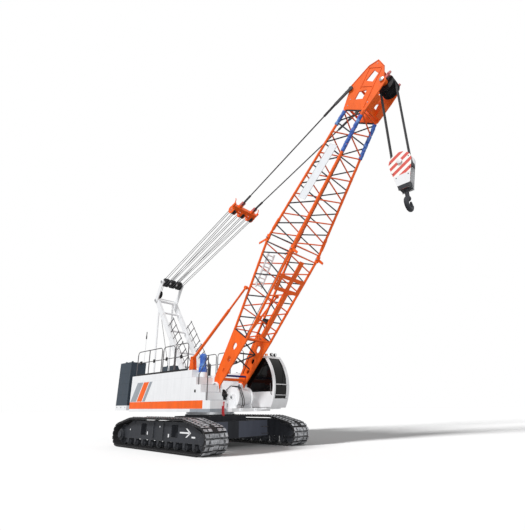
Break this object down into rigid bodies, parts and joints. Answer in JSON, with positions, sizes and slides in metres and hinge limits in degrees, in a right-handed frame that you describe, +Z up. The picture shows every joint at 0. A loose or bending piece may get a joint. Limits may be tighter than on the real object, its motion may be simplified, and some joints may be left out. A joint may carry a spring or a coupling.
{
  "type": "crawler crane",
  "caption": "Crawler crane with a luffing lattice boom, mast gantry, stay pendants, hook block, cab, machine houses and counterweight on two wide tracks.",
  "frame": {"origin": "on the ground, where the slewing axis meets it, midway between the tracks", "axes": "+X forward along the boom, +Y to the left where the cab is, +Z up"},
  "size_m": [15.2255, 5.3, 13.2034],
  "materials": {
    "steel_dark": "matt charcoal paint",
    "track_steel": "worn cast steel",
    "white_paint": "gloss white paint",
    "orange_paint": "gloss orange paint",
    "slate_paint": "satin slate grey paint",
    "grey_metal": "machined steel",
    "rail_grey": "dark grey paint",
    "blue_cover": "blue cover sheet",
    "black_glass": "dark tinted glass",
    "black_plastic": "black plastic",
    "red_paint": "red paint",
    "rope": "steel wire rope"
  },
  "bodies": {
    "undercarriage": {"carbody": "steel_dark", "slew_ring": "grey_metal", "track_frame_left": "steel_dark", "track_frame_right": "steel_dark", "track_left": "track_steel", "track_right": "track_steel", "drive_sprockets": "steel_dark", "idlers": "steel_dark", "lower_rollers": "steel_dark", "carrier_rollers": "steel_dark"},
    "upperworks": {"deck": "white_paint", "counterweight_tray": "white_paint", "counterweight_blocks": "slate_paint", "house_right": "white_paint", "house_left": "white_paint", "skirts": "orange_paint", "engine_block": "slate_paint", "cab_shell": "white_paint", "cab_glass": "black_glass", "cab_seat": "black_plastic", "cab_console": "black_plastic", "handrail_right": "rail_grey", "handrail_left": "rail_grey", "gantry_legs": "white_paint", "gantry_links": "white_paint", "gantry_head": "white_paint", "gantry_ladders": "rail_grey", "winch_stands": "white_paint", "covered_tank": "blue_cover", "backstop_posts": "orange_paint", "foot_pins": "grey_metal", "tie_down_lugs": "red_paint"},
    "door": {"cab_door": "white_paint", "door_glass": "black_glass"},
    "hoist_winch": {"hoist_drum": "steel_dark"},
    "luff_winch": {"luff_drum": "steel_dark"},
    "front_winch": {"front_drum": "white_paint"},
    "boom": {"boom_foot": "orange_paint", "boom_base_chords": "orange_paint", "boom_base_side_lacing_left": "steel_dark", "boom_base_side_lacing_right": "steel_dark", "boom_base_rear_lacing": "orange_paint", "boom_base_front_lacing": "orange_paint", "boom_lugs": "orange_paint", "boom_top_chords": "orange_paint", "boom_top_side_lacing_left": "steel_dark", "boom_top_side_lacing_right": "steel_dark", "boom_top_rear_lacing": "orange_paint", "boom_top_front_lacing": "orange_paint", "boom_head": "orange_paint"},
    "head_sheave_set": {"head_sheaves": "black_plastic"},
    "backstop_tube_set": {"backstop_tubes": "orange_paint"},
    "backstop_rod_set": {"backstop_rods": "orange_paint"},
    "gantry_sheave_set": {"gantry_sheaves": "black_plastic"},
    "bridle_set": {"bridle": "orange_paint", "pendants": "rope"},
    "hook_block_set": {"hoist_falls": "rope", "hook_block": "white_paint"},
    "block_sheave_set": {"block_sheaves": "steel_dark"},
    "hook_set": {"hook": "steel_dark"}
  },
  "joints": [
    {"name": "slew", "type": "hinge", "parent": "undercarriage", "child": "upperworks", "pos_m": [0, 0, 1.29], "axis": [0, 0, 1], "continuous": true},
    {"name": "boom_luff", "type": "hinge", "parent": "upperworks", "child": "boom", "pos_m": [1.19, 0, 2.25], "axis": [0, -1, 0], "range_deg": [-25, 25]},
    {"name": "hook_hang", "type": "hinge", "parent": "boom", "child": "hook_block_set", "pos_m": [9.49052, 0, 12.23821], "axis": [0, -1, 0], "range_deg": [-25.5, 25.5]},
    {"name": "block_spin", "type": "hinge", "parent": "hook_block_set", "child": "block_sheave_set", "pos_m": [9.49052, 0, 8.89821], "axis": [0, 1, 0], "continuous": true},
    {"name": "hook_swivel", "type": "hinge", "parent": "hook_block_set", "child": "hook_set", "pos_m": [9.49052, 0, 8.13821], "axis": [0, 0, 1], "continuous": true},
    {"name": "head_spin", "type": "hinge", "parent": "boom", "child": "head_sheave_set", "pos_m": [9.49052, 0, 12.23821], "axis": [0, 1, 0], "continuous": true},
    {"name": "stay_swing", "type": "hinge", "parent": "upperworks", "child": "gantry_sheave_set", "pos_m": [-3.77, 0, 7.8], "axis": [0, -1, 0], "range_deg": [-21, 21]},
    {"name": "stay_reach", "type": "slide", "parent": "gantry_sheave_set", "child": "bridle_set", "axis": [0.9277, 0, 0.3734], "range_m": [-3.05, 3.05]},
    {"name": "backstop_swing", "type": "hinge", "parent": "upperworks", "child": "backstop_tube_set", "pos_m": [-0.13, 0, 3.4], "axis": [0, -1, 0], "range_deg": [-24, 24]},
    {"name": "backstop_stroke", "type": "slide", "parent": "backstop_tube_set", "child": "backstop_rod_set", "axis": [0.7934, 0, 0.6088], "range_m": [-0.77, 0.77]},
    {"name": "cab_door_swing", "type": "hinge", "parent": "upperworks", "child": "door", "pos_m": [1.42, 1.735, 2.4], "axis": [0, 0, 1], "range_deg": [0, 100]},
    {"name": "hoist_winch_spin", "type": "hinge", "parent": "upperworks", "child": "hoist_winch", "pos_m": [-1.05, 0, 1.93], "axis": [0, 1, 0], "continuous": true},
    {"name": "luff_winch_spin", "type": "hinge", "parent": "upperworks", "child": "luff_winch", "pos_m": [-2.35, 0, 1.93], "axis": [0, 1, 0], "continuous": true},
    {"name": "front_winch_spin", "type": "hinge", "parent": "upperworks", "child": "front_winch", "pos_m": [1.8, 0, 1.81], "axis": [0, 1, 0], "continuous": true}
  ],
  "couplings": [
    {"joint": "hook_hang", "follows": "boom_luff", "ratio": -1},
    {"joint": "stay_swing", "follows": "boom_luff", "ratio": 0.8085},
    {"joint": "stay_reach", "follows": "boom_luff", "m_per_rad": -6.887},
    {"joint": "backstop_swing", "follows": "boom_luff", "ratio": 0.92},
    {"joint": "backstop_stroke", "follows": "boom_luff", "m_per_rad": -1.714}
  ]
}
